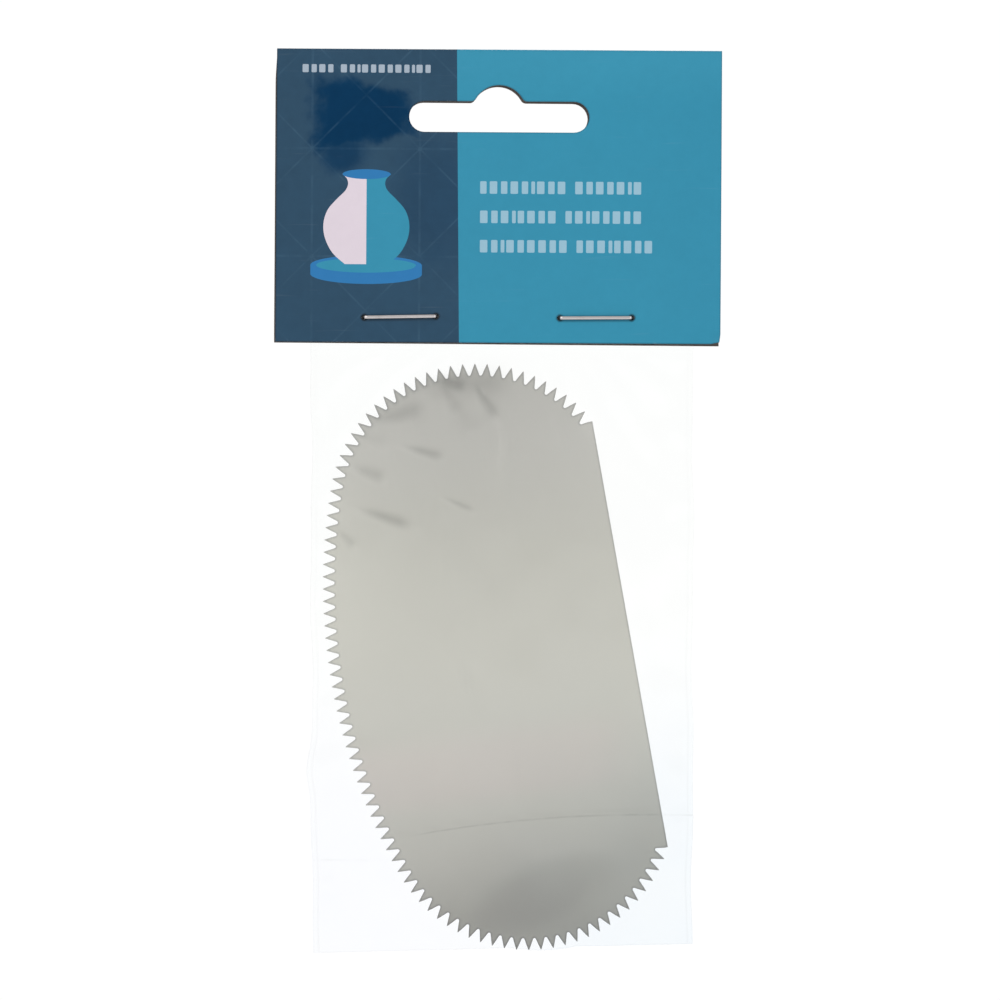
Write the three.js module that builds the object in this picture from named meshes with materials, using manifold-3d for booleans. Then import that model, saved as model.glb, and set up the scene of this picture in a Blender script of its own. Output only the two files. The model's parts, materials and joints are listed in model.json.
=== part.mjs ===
// A serrated half-moon scraper for clay in its hang pack: a steel blade in a clear film bag, whose mouth
// is stapled inside a folded header card with a hang slot. Millimetres, +Z up, front faces towards -Y.
// The origin is the point of the hang slot that a display peg carries: the top of the slot's hump, midway
// between the card's two panels.
import * as THREE from 'three';
import { mergeVertices } from 'three/addons/utils/BufferGeometryUtils.js';
import Module from 'manifold-3d';

const wasm = await Module();
wasm.setup();

// ---- driving dimensions ----

// steel scraper blade, measured over the tips of its teeth
const bladeLength = 101.6; // along the straight edge's direction
const bladeWidth = 52.1; // from the straight edge to the farthest tooth
const bladeThickness = 0.4;
const sideArcRadius = 101.5; // the long toothed side
const endArcRadius = 25.3; // the two toothed ends
const gulletCount = 88;
const toothDepth = 1.85;
const gulletRadius = 0.2; // the rounded bottom between two teeth
const bladeTiltDeg = 10.4; // how far the straight edge's top leans to the left in the bag

// clear film bag: one film folded at the bottom and welded up both sides
const filmThickness = 0.1;
const sideSeam = 1.0; // width of each welded side seam
const bladeFaceClearance = 0.1; // between each face of the blade and the film
const bladeSidePlay = [1.5, 2.9]; // from the blade to the left and right seams
const filmAboveBlade = 3.45; // bare film between the card and the topmost tooth
const neckLength = 1.5; // the stretch of film that bends when the bag swings
const neckPinch = 0.2; // where the two films part, below the card
const mouthBelowSlot = 12; // from the hang slot's lower edge to the top of the bag's mouth

// folded header card
const boardThickness = 0.4;
const cardHeight = 50.8; // one panel, from the fold to the lower edge
const cardOverhang = 4.6; // the card beyond the bag on the side where less of it shows
const cardAboveHump = 6.35; // from the top of the hang slot to the fold

// hang slot, punched through both panels: a long slot with a hump above its middle
const slotLength = 31;
const slotHeight = 5.05;
const humpRadius = 4.6;
const slotBelowHump = 8; // from the hump's top to the slot's lower edge
const humpFillet = 1.0; // where the hump flares into the slot's upper edge

// wire staples
const stapleCrown = 12.75; // outside width
const stapleLeg = 6; // wire that goes through the card, and then along its back
const wireDepth = 0.5; // across the card's thickness
const wireHeight = 0.6; // up the card's face
const stapleBend = 0.15; // inside radius of each bend
const stapleSpacing = 33.7; // between the centres of the two staples
const stapleAboveEdge = 4.65; // from the card's lower edge to the wire's middle
const legClearance = 0.05; // around each leg in its hole

// ---- levels and depths that follow from them ----

const insideGap = 2 * filmThickness; // the bag's two films fill the gap between the panels
const cardBack = insideGap / 2 + boardThickness; // half the closed card's thickness
const cardTop = cardAboveHump;
const cardBottom = cardTop - cardHeight;
const slotBottom = -slotBelowHump;
const mouthTop = slotBottom - mouthBelowSlot;
const neckBottom = cardBottom - neckLength;
const pocketInside = bladeThickness / 2 + bladeFaceClearance; // half the gap between the two films
const pocketOutside = pocketInside + filmThickness;
const arcSteps = 12;

// ---- helpers ----

// A shape drawn in (x, z) and given its depth along Y, centred on the mid-plane.
function plate(shape, depth) {
  const solid = new THREE.ExtrudeGeometry(shape, { depth, bevelEnabled: false, curveSegments: arcSteps });
  return solid.translate(0, 0, -depth / 2).rotateX(Math.PI / 2);
}

// A profile drawn in (y, z) and run along X from x0 to x1.
function run(shape, x0, x1) {
  const solid = new THREE.ExtrudeGeometry(shape, { depth: x1 - x0, bevelEnabled: false, curveSegments: arcSteps });
  const turn = new THREE.Matrix4().makeBasis(
    new THREE.Vector3(0, 1, 0), new THREE.Vector3(0, 0, 1), new THREE.Vector3(1, 0, 0));
  return solid.applyMatrix4(turn).translate(x0, 0, 0);
}

function box(x0, x1, y0, y1, z0, z1) {
  return new THREE.BoxGeometry(x1 - x0, y1 - y0, z1 - z0)
    .translate((x0 + x1) / 2, (y0 + y1) / 2, (z0 + z1) / 2);
}

function toSolid(geometry) {
  const bare = geometry.clone();
  bare.deleteAttribute('normal');
  bare.deleteAttribute('uv');
  const merged = mergeVertices(bare, 1e-5);
  return new wasm.Manifold(new wasm.Mesh({
    numProp: 3,
    vertProperties: new Float32Array(merged.attributes.position.array),
    triVerts: new Uint32Array(merged.index.array),
  }));
}

function toGeometry(solid) {
  const mesh = solid.getMesh();
  const geometry = new THREE.BufferGeometry();
  geometry.setAttribute('position', new THREE.BufferAttribute(new Float32Array(mesh.vertProperties), 3));
  geometry.setIndex(new THREE.BufferAttribute(new Uint32Array(mesh.triVerts), 1));
  geometry.computeVertexNormals();
  return geometry;
}

function cut(body, ...tools) {
  return toGeometry(tools.reduce((left, tool) => left.subtract(toSolid(tool)), toSolid(body)));
}

function node(name, geometry, material) {
  const mesh = new THREE.Mesh(geometry, material);
  mesh.name = name;
  return mesh;
}

// ---- scraper blade ----

// The outline over the tooth tips, in the blade's own frame: u runs from the straight edge towards the
// teeth and v along the edge, from its middle. The two end arcs are tangent to the long side arc.
const endCentreV = bladeLength / 2 - endArcRadius;
const sideCentreU = bladeWidth - sideArcRadius;
const endCentreU = sideCentreU + Math.sqrt((sideArcRadius - endArcRadius) ** 2 - endCentreV ** 2);
const joinAngle = Math.atan2(endCentreV, endCentreU - sideCentreU); // where the arcs meet, from the u axis
const cornerAngle = Math.acos(-endCentreU / endArcRadius); // where an end arc meets the straight edge
const endArcLength = endArcRadius * (cornerAngle - joinAngle);
const sideArcLength = 2 * sideArcRadius * joinAngle;
const toothedLength = 2 * endArcLength + sideArcLength;

// A point of the blade at a distance along the toothed outline, set in by a depth.
function onToothedEdge(distance, depth) {
  const fromMiddle = distance - toothedLength / 2;
  const side = Math.sign(fromMiddle);
  const along = Math.abs(fromMiddle);
  if (along <= sideArcLength / 2) {
    const angle = fromMiddle / sideArcRadius;
    const radius = sideArcRadius - depth;
    return [sideCentreU + radius * Math.cos(angle), radius * Math.sin(angle)];
  }
  const angle = joinAngle + (along - sideArcLength / 2) / endArcRadius;
  const radius = endArcRadius - depth;
  return [endCentreU + radius * Math.cos(angle), side * (endCentreV + radius * Math.sin(angle))];
}

// The three lowest points of one gullet, as (share of the pitch, share of the depth).
function gulletProfile(pitch) {
  const flank = Math.atan2(pitch / 2, toothDepth);
  const half = (gulletRadius * Math.cos(flank)) / pitch;
  const shoulder = 1 - (gulletRadius * (1 - Math.sin(flank))) / toothDepth;
  return [[0.5 - half, shoulder], [0.5, 1], [0.5 + half, shoulder]];
}

function bladeOutline() {
  const pitch = toothedLength / gulletCount;
  const outline = [];
  for (let i = 0; i < gulletCount; i++) {
    outline.push(onToothedEdge(i * pitch, 0));
    for (const [share, depth] of gulletProfile(pitch)) {
      outline.push(onToothedEdge((i + share) * pitch, depth * toothDepth));
    }
  }
  outline.push(onToothedEdge(toothedLength, 0));
  return outline;
}

// The blade stands in the bag with its teeth to the left, so (u, v) turns into the pack's (x, z).
const tilt = THREE.MathUtils.degToRad(bladeTiltDeg);
const tiltedOutline = bladeOutline().map(([u, v]) => new THREE.Vector2(
  -u * Math.cos(tilt) - v * Math.sin(tilt),
  -u * Math.sin(tilt) + v * Math.cos(tilt)));
const reach = new THREE.Box2().setFromPoints(tiltedOutline);
const bladeShift = new THREE.Vector2(
  -(reach.min.x + reach.max.x) / 2, cardBottom - filmAboveBlade - reach.max.y);
const bladeReach = reach.clone().translate(bladeShift);

function scraperBlade() {
  const placed = tiltedOutline.map((point) => point.clone().add(bladeShift));
  return plate(new THREE.Shape(placed), bladeThickness);
}

// ---- film bag ----

const bagLeft = bladeReach.min.x - bladeSidePlay[0] - sideSeam;
const bagRight = bladeReach.max.x + bladeSidePlay[1] + sideSeam;
const foldCentre = bladeReach.min.y; // the blade's lowest tooth stands over the folded bottom
const cardHalfWidth = Math.max(-bagLeft, bagRight) + cardOverhang;

// A profile of parallel walls that close in a half circle below.
function foldedProfile(radius, top) {
  const profile = new THREE.Shape();
  profile.moveTo(-radius, top);
  profile.lineTo(-radius, foldCentre);
  profile.absarc(0, foldCentre, radius, Math.PI, 2 * Math.PI, false);
  profile.lineTo(radius, top);
  return profile;
}

function bagPocket() {
  const opened = neckBottom + 1; // the hollow is cut past the top, so the pocket opens into the neck
  return cut(
    run(foldedProfile(pocketOutside, neckBottom), bagLeft, bagRight),
    run(foldedProfile(pocketInside, opened), bagLeft + sideSeam, bagRight - sideSeam));
}

function bagNeck() {
  const outer = new THREE.Shape([
    new THREE.Vector2(-filmThickness, cardBottom),
    new THREE.Vector2(-pocketOutside, neckBottom),
    new THREE.Vector2(pocketOutside, neckBottom),
    new THREE.Vector2(filmThickness, cardBottom),
  ]);
  const pinch = cardBottom - neckPinch;
  const spread = pocketInside / (pinch - neckBottom); // half gap gained per millimetre down
  const below = 1;
  const inner = new THREE.Shape([
    new THREE.Vector2(0, pinch),
    new THREE.Vector2(-pocketInside - spread * below, neckBottom - below),
    new THREE.Vector2(pocketInside + spread * below, neckBottom - below),
  ]);
  return cut(run(outer, bagLeft, bagRight), run(inner, bagLeft + sideSeam, bagRight - sideSeam));
}

function bagMouth() {
  return cut(
    box(bagLeft, bagRight, -filmThickness, filmThickness, cardBottom, mouthTop),
    ...legHoles());
}

// ---- staples ----

const stapleLevel = cardBottom + stapleAboveEdge;
const stapleCentres = [-stapleSpacing / 2, stapleSpacing / 2];

// The wire's outline seen from above: crown in front, legs through the card, and both ends clinched
// inwards against its back.
function stapleOutline(centre) {
  const half = stapleCrown / 2;
  const leg = half - wireDepth; // inner face of each leg
  const front = -cardBack;
  const back = cardBack;
  const outside = stapleBend + wireDepth;
  const tip = half - (stapleLeg - 2 * cardBack);
  const shape = new THREE.Shape();
  shape.moveTo(centre - half + outside, front - wireDepth);
  shape.lineTo(centre + half - outside, front - wireDepth);
  shape.absarc(centre + half - outside, front + stapleBend, outside, -Math.PI / 2, 0, false);
  shape.absarc(centre + half - outside, back - stapleBend, outside, 0, Math.PI / 2, false);
  shape.lineTo(centre + tip, back + wireDepth);
  shape.lineTo(centre + tip, back);
  shape.absarc(centre + leg - stapleBend, back - stapleBend, stapleBend, Math.PI / 2, 0, true);
  shape.absarc(centre + leg - stapleBend, front + stapleBend, stapleBend, 0, -Math.PI / 2, true);
  shape.absarc(centre - leg + stapleBend, front + stapleBend, stapleBend, -Math.PI / 2, -Math.PI, true);
  shape.absarc(centre - leg + stapleBend, back - stapleBend, stapleBend, Math.PI, Math.PI / 2, true);
  shape.lineTo(centre - tip, back);
  shape.lineTo(centre - tip, back + wireDepth);
  shape.absarc(centre - half + outside, back - stapleBend, outside, Math.PI / 2, Math.PI, false);
  shape.absarc(centre - half + outside, front + stapleBend, outside, Math.PI, 1.5 * Math.PI, false);
  return shape;
}

// Seen from above, so the outline's depth axis is Y and the wire's height runs along Z.
function staple(centre) {
  const options = { depth: wireHeight, bevelEnabled: false, curveSegments: 6 };
  return new THREE.ExtrudeGeometry(stapleOutline(centre), options)
    .translate(0, 0, stapleLevel - wireHeight / 2);
}

// Four holes that the legs pierced through both panels and the film between them.
function legHoles() {
  const reachThrough = cardBack + 1;
  const rise = wireHeight / 2 + legClearance;
  const outer = stapleCrown / 2 + legClearance;
  const inner = stapleCrown / 2 - wireDepth - stapleBend - legClearance;
  return stapleCentres.flatMap((centre) => [[-outer, -inner], [inner, outer]].map(([from, to]) =>
    box(centre + from, centre + to, -reachThrough, reachThrough, stapleLevel - rise, stapleLevel + rise)));
}

// ---- header card ----

function hangSlot() {
  const end = slotHeight / 2;
  const top = slotBottom + slotHeight;
  const straight = slotLength / 2 - end;
  // the fillet's circle lies above the slot's upper edge and touches the hump's circle from outside
  const filletRise = top + humpFillet + humpRadius;
  const foot = Math.sqrt((humpRadius + humpFillet) ** 2 - filletRise ** 2);
  const lean = Math.atan2(filletRise, foot);
  const slot = new THREE.Shape();
  slot.moveTo(-straight, slotBottom);
  slot.lineTo(straight, slotBottom);
  slot.absarc(straight, slotBottom + end, end, -Math.PI / 2, Math.PI / 2, false);
  slot.lineTo(foot, top);
  slot.absarc(foot, top + humpFillet, humpFillet, -Math.PI / 2, -Math.PI + lean, true);
  slot.absarc(0, -humpRadius, humpRadius, lean, Math.PI - lean, false);
  slot.absarc(-foot, top + humpFillet, humpFillet, -lean, -Math.PI / 2, true);
  slot.lineTo(-straight, top);
  slot.absarc(-straight, slotBottom + end, end, Math.PI / 2, 1.5 * Math.PI, false);
  return slot;
}

function headerCard() {
  const inside = insideGap / 2;
  const foldLevel = cardTop - cardBack;
  const section = new THREE.Shape();
  section.moveTo(-cardBack, cardBottom);
  section.lineTo(-inside, cardBottom);
  section.lineTo(-inside, foldLevel);
  section.absarc(0, foldLevel, inside, Math.PI, 0, true);
  section.lineTo(inside, cardBottom);
  section.lineTo(cardBack, cardBottom);
  section.lineTo(cardBack, foldLevel);
  section.absarc(0, foldLevel, cardBack, 0, Math.PI, false);
  return cut(
    run(section, -cardHalfWidth, cardHalfWidth),
    plate(hangSlot(), 4 * cardBack),
    ...legHoles());
}

// ---- the pack ----

const board = new THREE.MeshStandardMaterial({ color: 0x3a94b2, roughness: 0.45, metalness: 0 });
const film = new THREE.MeshStandardMaterial({
  color: 0xf2f6fa, roughness: 0.12, metalness: 0, transparent: true, opacity: 0.18,
});
const steel = new THREE.MeshStandardMaterial({ color: 0xc3c3bb, roughness: 0.35, metalness: 1 });
const wire = new THREE.MeshStandardMaterial({ color: 0xcfc8c6, roughness: 0.3, metalness: 1 });

const header = new THREE.Group();
header.add(
  node('header_card', headerCard(), board),
  node('staple_left', staple(stapleCentres[0]), wire),
  node('staple_right', staple(stapleCentres[1]), wire),
  node('bag_mouth', bagMouth(), film));

const bag = new THREE.Group();
bag.add(node('bag_neck', bagNeck(), film), node('bag_pocket', bagPocket(), film));

const pack = new THREE.Group();
pack.add(header, bag, node('scraper_blade', scraperBlade(), steel));

export default pack;
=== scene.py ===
import json
import math

import bmesh
import bpy
import numpy as np
from mathutils import Matrix, Vector, geometry, noise


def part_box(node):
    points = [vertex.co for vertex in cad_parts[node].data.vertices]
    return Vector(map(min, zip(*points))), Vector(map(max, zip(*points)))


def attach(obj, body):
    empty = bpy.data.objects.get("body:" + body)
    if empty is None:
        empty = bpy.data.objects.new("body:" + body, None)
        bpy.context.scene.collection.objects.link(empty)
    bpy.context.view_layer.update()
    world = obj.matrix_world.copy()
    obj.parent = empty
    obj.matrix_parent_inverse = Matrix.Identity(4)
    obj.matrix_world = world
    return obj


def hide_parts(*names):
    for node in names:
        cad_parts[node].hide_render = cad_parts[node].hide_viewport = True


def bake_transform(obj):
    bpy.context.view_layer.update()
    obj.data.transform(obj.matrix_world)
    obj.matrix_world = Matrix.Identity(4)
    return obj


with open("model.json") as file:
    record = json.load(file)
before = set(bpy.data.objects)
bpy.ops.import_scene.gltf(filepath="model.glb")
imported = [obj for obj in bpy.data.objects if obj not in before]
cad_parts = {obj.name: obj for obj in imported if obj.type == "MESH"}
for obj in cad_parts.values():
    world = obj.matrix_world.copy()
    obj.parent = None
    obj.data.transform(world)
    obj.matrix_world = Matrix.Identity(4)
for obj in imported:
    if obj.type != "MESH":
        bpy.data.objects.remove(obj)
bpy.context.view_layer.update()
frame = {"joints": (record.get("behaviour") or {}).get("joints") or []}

bl_info = {
    "name": "Clay Scraper Hang Pack",
    "version": (1, 0, 0),
    "blender": (4, 5, 0),
    "location": "View3D > Sidebar > Clay Scraper",
    "description": "A toothed steel clay scraper in a clear film bag, stapled into a folded header card",
    "category": "Object",
}

MM = 0.001

# Where the solids in the frame stand, in millimetres.
CARD_LOW, CARD_HIGH = (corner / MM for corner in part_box("header_card"))
BLADE_LOW, BLADE_HIGH = (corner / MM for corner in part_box("scraper_blade"))
POCKET_LOW, POCKET_HIGH = (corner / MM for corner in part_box("bag_pocket"))
MOUTH_LOW, MOUTH_HIGH = (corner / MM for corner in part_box("bag_mouth"))
SLIDE = next(j["range_m"][1] for j in frame["joints"] if j["name"] == "scraper_slide") / MM
STAPLE_BOXES = [[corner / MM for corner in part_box(n)] for n in ("staple_left", "staple_right")]


# ---------------------------------------------------------------- settings


def millimetres(name, about, default):
    return bpy.props.FloatProperty(name=name, description=about, default=default, subtype="DISTANCE_CAMERA")


def degrees(name, about, default):
    return bpy.props.FloatProperty(
        name=name, description=about, default=math.radians(default), subtype="ANGLE")


def tint(name, about, default):
    return bpy.props.FloatVectorProperty(
        name=name, description=about, default=default, subtype="COLOR", size=3)


class ScraperBladeSettings(bpy.types.PropertyGroup):
    width: millimetres("Width", "From the straight edge to the farthest tooth", 52.1)
    length: millimetres("Length", "Over the teeth of both ends", 101.6)
    side_radius: millimetres("Side radius", "Radius of the long toothed side", 101.5)
    end_radius: millimetres("End radius", "Radius of the two toothed ends", 25.3)
    gullets: bpy.props.IntProperty(
        name="Gullets", description="How many gaps are cut between the teeth", default=88)
    tooth_depth: millimetres("Tooth depth", "From a tip to the bottom of a gullet", 2.03)
    tip_reach: millimetres("Tip reach", "How far the tips stand beyond the nominal arcs", 0.08)
    tip_flat: millimetres("Tip flat", "Half width of each blunt tip", 0.05)
    gullet_radius: millimetres("Gullet radius", "Rounding at the bottom of each gullet", 0.3)
    tilt: degrees("Tilt", "Lean of the straight edge in the bag", 10.4)
    edge_break: millimetres("Edge break", "Rounding of the stamped edges", 0.045)
    steel: tint("Steel", "Colour of the rolled face", (0.674, 0.663, 0.601))
    steel_cool: tint("Cool steel", "What the head of the face leans to", (0.664, 0.650, 0.631))
    steel_warm: tint("Warm steel", "What a belt low down leans to", (0.703, 0.656, 0.606))
    # also the colour of the painted shade over the teeth at the upper left
    steel_dark_and_shade: tint("Dark steel", "Colour at the teeth and in dull patches", (0.42, 0.42, 0.40))


class HeaderCardSettings(bpy.types.PropertyGroup):
    board: millimetres("Board", "Thickness of the board", 0.38)
    spring: millimetres("Spring", "How far each panel stands off between fold and staples", 0.22)
    front_lift: millimetres("Front lift", "How far the front panel stops short of the mouth line", 0.24)
    back_drop: millimetres("Back drop", "How far the back panel hangs below the front one", 0.22)
    back_slip: millimetres("Back slip", "How far the back panel sits to the left of the front one", 0.26)
    back_skew: degrees("Back skew", "Turn of the back panel against the front one", 0.15)
    sheen: bpy.props.FloatProperty(
        name="Sheen", description="How strongly the coated print mirrors the room", default=0.26,
        min=0.0, max=1.0, subtype="FACTOR")
    navy: tint("Navy", "Ink of the left panel", (0.0150, 0.0560, 0.1040))
    navy_deep: tint("Deep navy", "The darker field in the navy", (0.0020, 0.0310, 0.0830))
    teal: tint("Teal", "Ink of the right panel", (0.0250, 0.2430, 0.3740))
    pale: tint("Pale", "Ink of the pot's pale half", (0.670, 0.590, 0.655))
    blue: tint("Blue", "Ink of the pot's lip and the wheel's rim", (0.018, 0.165, 0.40))
    letter: tint("Rows", "Ink of the plain rows on the teal", (0.275, 0.462, 0.570))
    heading: tint("Heading", "Ink of the plain row on the navy", (0.335, 0.400, 0.475))
    kraft: tint("Raw board", "The unprinted inside and cut edges", (0.058, 0.047, 0.042))


class FilmBagSettings(bpy.types.PropertyGroup):
    film: millimetres("Film", "Thickness of the film", 0.05)
    seam: millimetres("Seam", "Width of each welded side seam", 0.95)
    puff: millimetres("Puff", "How far the loose film stands off", 0.55)
    cell: millimetres("Cell", "Spacing of the film's mesh", 0.7)
    haze: tint("Haze", "Colour of the film's faint haze", (0.86, 0.91, 0.97))


class StapleSettings(bpy.types.PropertyGroup):
    wire: tint("Wire", "Colour of the plated wire", (0.60, 0.565, 0.56))
    left_turn: degrees("Left turn", "How far the left staple sits off level", 1.25)
    right_turn: degrees("Right turn", "How far the right staple sits off level", 0.6)


class StageSettings(bpy.types.PropertyGroup):
    lens: millimetres("Lens", "Focal length of the camera", 135.0)
    view_width: millimetres("View width", "Width that the camera takes in at the pack", 172.3)
    view_x: millimetres("View X", "Middle of the view across the pack", 0.54)
    view_z: millimetres("View Z", "Middle of the view up the pack", -71.25)
    roll: degrees("Roll", "Roll of the camera", -0.35)
    floor_gap: millimetres("Floor gap", "From the hanging pack down to the floor", 60.0)


# ---------------------------------------------------------------- mesh helpers


def add_mesh(name, points, faces, materials, face_materials=None, smooth_angle=40.0):
    """A mesh object from points in millimetres, with each face's material and smooth shading by angle."""
    mesh = bpy.data.meshes.new(name)
    mesh.from_pydata([tuple(p) for p in np.asarray(points) * MM], [], [tuple(f) for f in faces])
    for material in materials:
        mesh.materials.append(material)
    if face_materials is not None:
        mesh.polygons.foreach_set("material_index", np.asarray(face_materials, np.int32))
    mesh.validate()
    mesh.shade_smooth()
    mesh.set_sharp_from_angle(angle=math.radians(smooth_angle))
    mesh.update()
    piece = bpy.data.objects.new(name, mesh)
    bpy.context.scene.collection.objects.link(piece)
    return piece


def turn_outwards(piece, merge=0.0):
    """Point every face of a closed mesh outwards, with points closer than merge joined first."""
    made = bmesh.new()
    made.from_mesh(piece.data)
    if merge:
        bmesh.ops.remove_doubles(made, verts=made.verts, dist=merge * MM)
    bmesh.ops.recalc_face_normals(made, faces=made.faces)
    made.to_mesh(piece.data)
    made.free()


def set_attribute(piece, name, values):
    attribute = piece.data.attributes.new(name, "FLOAT", "POINT")
    attribute.data.foreach_set("value", np.asarray(values, np.float32))


def inside(points, outline):
    """Which of the points lie inside a closed outline, by counting crossings."""
    points, outline = np.asarray(points, float), np.asarray(outline, float)
    found = np.zeros(len(points), bool)
    for (x0, y0), (x1, y1) in zip(outline, np.roll(outline, -1, axis=0)):
        if y0 == y1:
            continue
        across = (points[:, 1] > min(y0, y1)) & (points[:, 1] <= max(y0, y1))
        found ^= across & (points[:, 0] < x0 + (points[:, 1] - y0) * (x1 - x0) / (y1 - y0))
    return found


def to_outline(points, outline):
    """Each point's distance to the nearest stretch of a closed outline."""
    points, outline = np.asarray(points, float), np.asarray(outline, float)
    nearest = np.full(len(points), np.inf)
    for start, end in zip(outline, np.roll(outline, -1, axis=0)):
        along = end - start
        length = along @ along
        if length == 0:
            continue
        share = np.clip((points - start) @ along / length, 0, 1)
        nearest = np.minimum(nearest, np.linalg.norm(points - start - share[:, None] * along, axis=1))
    return nearest


def triangulate(outlines, loose):
    """Points and triangles over the outlines and the loose points, with every outline kept as edges."""
    points, edges = [], []
    for outline in outlines:
        first = len(points)
        points += [tuple(p) for p in outline]
        edges += [(first + i, first + (i + 1) % len(outline)) for i in range(len(outline))]
    points += [tuple(p) for p in loose]
    made = geometry.delaunay_2d_cdt([Vector(p) for p in points], edges, [], 0, 1e-6)
    flat = np.array([tuple(p) for p in made[0]])
    triangles = np.array([tuple(f) for f in made[2]])
    a, b, c = (flat[triangles[:, i]] for i in range(3))
    turn = (b - a)[:, 0] * (c - a)[:, 1] - (b - a)[:, 1] * (c - a)[:, 0]
    triangles[turn < 0] = triangles[turn < 0][:, ::-1]
    return flat, triangles[np.abs(turn) > 1e-9]


def compacted(points, triangles):
    """Only the points that the triangles use."""
    used, renumbered = np.unique(triangles, return_inverse=True)
    return points[used], renumbered.reshape(triangles.shape)


def rim_edges(triangles):
    """The directed edges that only one triangle has."""
    edges = np.concatenate([triangles[:, [0, 1]], triangles[:, [1, 2]], triangles[:, [2, 0]]])
    known = {tuple(e) for e in edges}
    return [(a, b) for a, b in edges if (b, a) not in known]


def arc(centre, radius, start, end, steps):
    """Points on an arc, both ends included, with angles in degrees."""
    angles = np.radians(np.linspace(start, end, steps + 1))
    return [(centre[0] + radius * math.cos(a), centre[1] + radius * math.sin(a)) for a in angles]


def smooth_step(low, high, value):
    t = np.clip((np.asarray(value, float) - low) / (high - low), 0, 1)
    return t * t * (3 - 2 * t)


def drift(x, z, size, seed):
    """Slow noise over the pack's face, from -1 to 1, with bumps about size mm apart."""
    flat_x, flat_z = np.ravel(x) / size, np.ravel(z) / size
    made = [noise.noise(Vector((a, b, seed))) for a, b in zip(flat_x, flat_z)]
    return np.reshape(made, np.shape(x))


# ---------------------------------------------------------------- shader helpers


class Value:
    """Something that varies over a surface. Plain arithmetic on it adds the nodes that work it out."""

    def __init__(self, socket):
        self.socket, self.tree = socket, socket.id_data

    def __add__(self, other):
        return maths("ADD", self, other)

    def __sub__(self, other):
        return maths("SUBTRACT", self, other)

    def __mul__(self, other):
        return maths("MULTIPLY", self, other)

    def __truediv__(self, other):
        return maths("DIVIDE", self, other)

    def __abs__(self):
        return maths("ABSOLUTE", self)


def tree_of(*values):
    return next(value.tree for value in values if isinstance(value, Value))


def link(value, socket):
    value.tree.links.new(value.socket, socket)


def fill(socket, value):
    """Link a varying value to a socket, or set a plain one on it."""
    if isinstance(value, Value):
        link(value, socket)
    else:
        socket.default_value = value


def put(tree, kind, values=None, **settings):
    """A node with its settings, and with values for its inputs."""
    node = tree.nodes.new(kind)
    for key, value in settings.items():
        setattr(node, key, value)
    for key, value in (values or {}).items():
        fill(node.inputs[key], value)
    return node


def result(tree, kind, values=None, output=0, **settings):
    return Value(put(tree, kind, values, **settings).outputs[output])


def maths(operation, *values, clamp=False):
    return result(tree_of(*values), "ShaderNodeMath", dict(enumerate(values)), operation=operation,
                  use_clamp=clamp)


def least(a, b):
    return maths("MINIMUM", a, b)


def most(a, b):
    return maths("MAXIMUM", a, b)


def squared(value):
    return value * value


def mixed(share, first, second):
    """A colour between the first, at a share of 0, and the second, at 1."""
    return result(tree_of(share, first, second), "ShaderNodeMix", {0: share, 6: first, 7: second}, 2,
                  data_type="RGBA")


def ranged(value, low, high, to_low=0.0, to_high=1.0):
    """A smooth step from one number to another while a value goes from low to high."""
    return result(value.tree, "ShaderNodeMapRange", {
        "Value": value, "From Min": low, "From Max": high, "To Min": to_low, "To Max": to_high},
        "Result", interpolation_type="SMOOTHSTEP")


def scaled(vector, gain):
    return result(tree_of(vector, gain), "ShaderNodeVectorMath", {0: vector, 3: gain}, operation="SCALE")


def combined(tree, x=0.0, y=0.0, z=0.0):
    return result(tree, "ShaderNodeCombineXYZ", {0: x, 1: y, 2: z})


def place(tree):
    """The rest position in millimetres: (position vector, x, y, z)."""
    position = scaled(result(tree, "ShaderNodeTexCoord", output="Object"), 1 / MM)
    parts = put(tree, "ShaderNodeSeparateXYZ", {0: position}).outputs
    return position, *(Value(part) for part in parts)


def noise_at(position, scale, detail=3.0, stretch=(1, 1, 1), offset=(0, 0, 0)):
    moved = result(position.tree, "ShaderNodeMapping", {
        "Vector": position, "Scale": stretch, "Location": offset})
    return result(position.tree, "ShaderNodeTexNoise", {
        "Vector": moved, "Scale": scale, "Detail": detail, "Roughness": 0.55}, "Fac")


def attribute(tree, name):
    return result(tree, "ShaderNodeAttribute", output="Fac", attribute_name=name)


def bump(height, strength, distance):
    return result(height.tree, "ShaderNodeBump", {
        "Height": height, "Strength": strength, "Distance": distance * MM})


def colour(rgb):
    return (*rgb, 1.0)


def new_material(name):
    material = bpy.data.materials.new(name)
    material.use_nodes = True
    tree = material.node_tree
    tree.nodes.clear()
    output = put(tree, "ShaderNodeOutputMaterial")
    shader = put(tree, "ShaderNodeBsdfPrincipled")
    tree.links.new(shader.outputs[0], output.inputs[0])
    return material, tree, shader, output


def feed(shader, **values):
    for key, value in values.items():
        fill(shader.inputs[key.replace("_", " ")], value)


def use_group(tree, name, build, values):
    """The varying outputs, by name, of a node group that is built the first time it is used."""
    group = bpy.data.node_groups.get(name) or build(name)
    outputs = put(tree, "ShaderNodeGroup", values, node_tree=group).outputs
    return {output.name: Value(output) for output in outputs}


def new_group(name, inputs, outputs):
    """A shader node group, with its inputs as varying values and its outputs' sockets, by name."""
    tree = bpy.data.node_groups.new(name, "ShaderNodeTree")
    for title, (kind, value) in inputs.items():
        socket = tree.interface.new_socket(name=title, in_out="INPUT", socket_type=kind)
        socket.default_value = value
    for title, kind in outputs.items():
        tree.interface.new_socket(name=title, in_out="OUTPUT", socket_type=kind)
    given = {s.name: Value(s) for s in tree.nodes.new("NodeGroupInput").outputs if s.name}
    return tree, given, tree.nodes.new("NodeGroupOutput").inputs


NUMBER, COLOUR = "NodeSocketFloat", "NodeSocketColor"


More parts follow.
